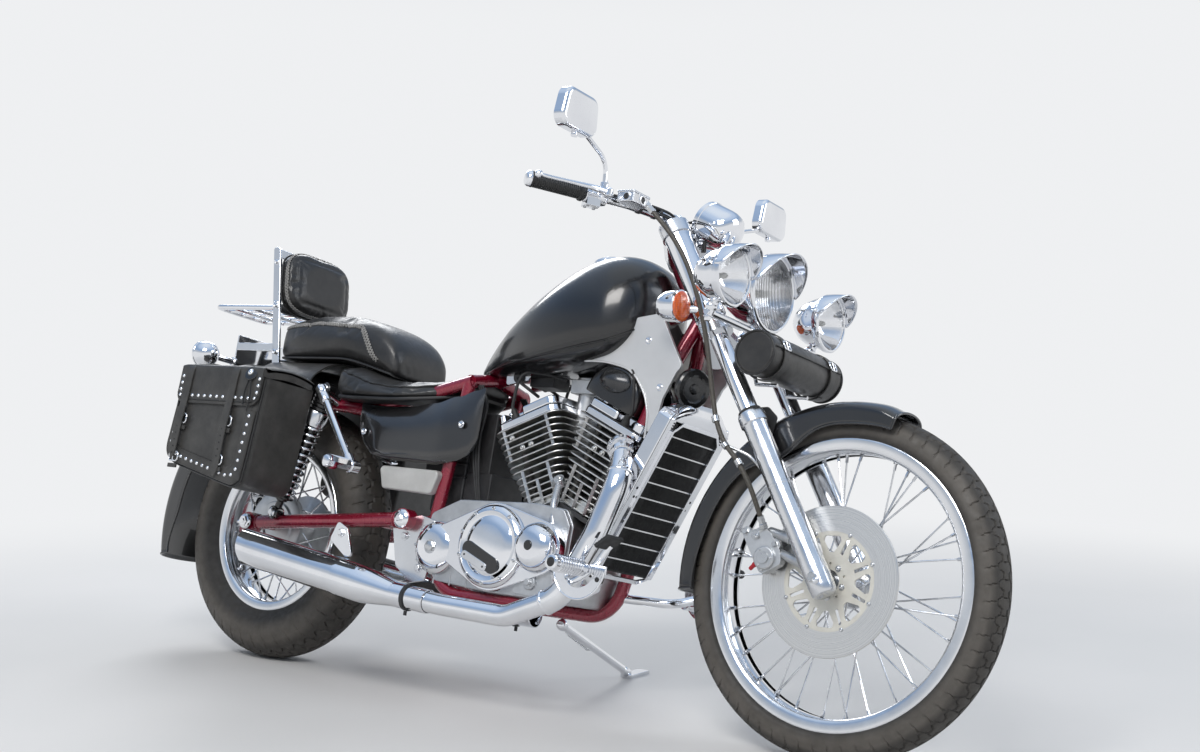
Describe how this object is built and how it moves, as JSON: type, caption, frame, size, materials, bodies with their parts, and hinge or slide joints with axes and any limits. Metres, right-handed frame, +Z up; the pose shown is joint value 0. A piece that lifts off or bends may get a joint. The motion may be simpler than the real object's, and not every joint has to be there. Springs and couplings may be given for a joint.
{
  "type": "cruiser motorcycle",
  "caption": "Cruiser motorcycle leaning on its side stand, with saddlebags, sissy bar, spot lamps, wire wheels, turning steering, opening bag lids and a folding stand.",
  "frame": {"origin": "on the ground under the middle of the parked bike's outline", "axes": "+X towards the front wheel, +Y to the rider's left where the side stand is, +Z up; the bike leans 14 degrees towards +Y"},
  "size_m": [2.304, 0.9856, 1.3138],
  "materials": {
    "frame_paint": "satin",
    "silver_paint": "satin",
    "black_paint": "satin",
    "chrome": "polished",
    "alloy": "satin",
    "cast_black": "matte",
    "steel": "satin",
    "black_leather": "satin",
    "tyre": "matte",
    "rubber": "matte",
    "red_lens": "gloss"
  },
  "bodies": {
    "chassis": {"frame": "frame_paint", "neck_cover": "silver_paint", "fuel_tank": "black_paint", "rider_seat": "black_leather", "passenger_seat": "black_leather", "backrest_pad": "black_leather", "sissy_bar": "chrome", "rear_fender": "black_paint", "side_covers": "black_paint", "crankcase": "alloy", "engine_covers": "chrome", "rear_cylinder": "alloy", "front_cylinder": "alloy", "exhaust": "chrome", "radiator": "cast_black", "radiator_cover": "chrome", "swingarm": "frame_paint", "shocks": "chrome", "tail_lamp": "red_lens", "rear_signals": "chrome", "saddlebag_right": "black_leather", "saddlebag_left": "black_leather", "bag_yoke": "black_leather", "foot_controls": "chrome"},
    "fork": {"triple_clamps": "alloy", "fork_tubes": "chrome", "fork_sliders": "alloy", "front_fender": "black_paint", "handlebar": "chrome", "grips": "rubber", "hand_controls": "alloy", "mirrors": "chrome", "headlamp": "chrome", "spot_lamps": "chrome", "front_signals": "chrome", "speedometer": "chrome", "tool_roll": "black_leather", "brake_caliper": "alloy", "brake_hose": "rubber"},
    "front_wheel": {"front_tyre": "tyre", "front_wheel": "alloy", "brake_disc": "steel"},
    "rear_wheel": {"rear_tyre": "tyre", "rear_wheel": "alloy"},
    "side_stand": {"side_stand": "chrome"},
    "lid_right": {"lid_right": "black_leather"},
    "lid_left": {"lid_left": "black_leather"}
  },
  "joints": [
    {"name": "steering", "type": "hinge", "parent": "chassis", "child": "fork", "pos_m": [0.76587, -0.15846, 0.30214], "axis": [-0.5446, 0.2029, 0.8138], "range_deg": [-36, 36]},
    {"name": "front_wheel_spin", "type": "hinge", "parent": "fork", "child": "front_wheel", "pos_m": [0.812, -0.15121, 0.33121], "axis": [0, 0.9703, -0.2419], "continuous": true},
    {"name": "rear_wheel_spin", "type": "hinge", "parent": "chassis", "child": "rear_wheel", "pos_m": [-0.748, -0.15684, 0.30863], "axis": [0, 0.9703, -0.2419], "continuous": true},
    {"name": "stand_fold", "type": "hinge", "parent": "chassis", "child": "side_stand", "pos_m": [0.064, -0.08788, 0.15532], "axis": [-0.1611, 0.5462, 0.822], "range_deg": [0, 99.6]},
    {"name": "lid_right_hinge", "type": "hinge", "parent": "chassis", "child": "lid_right", "pos_m": [-0.844, -0.25065, 0.68884], "axis": [-1, 0, 0], "range_deg": [0, 95]},
    {"name": "lid_left_hinge", "type": "hinge", "parent": "chassis", "child": "lid_left", "pos_m": [-0.844, 0.10448, 0.6003], "axis": [1, 0, 0], "range_deg": [0, 95]}
  ]
}
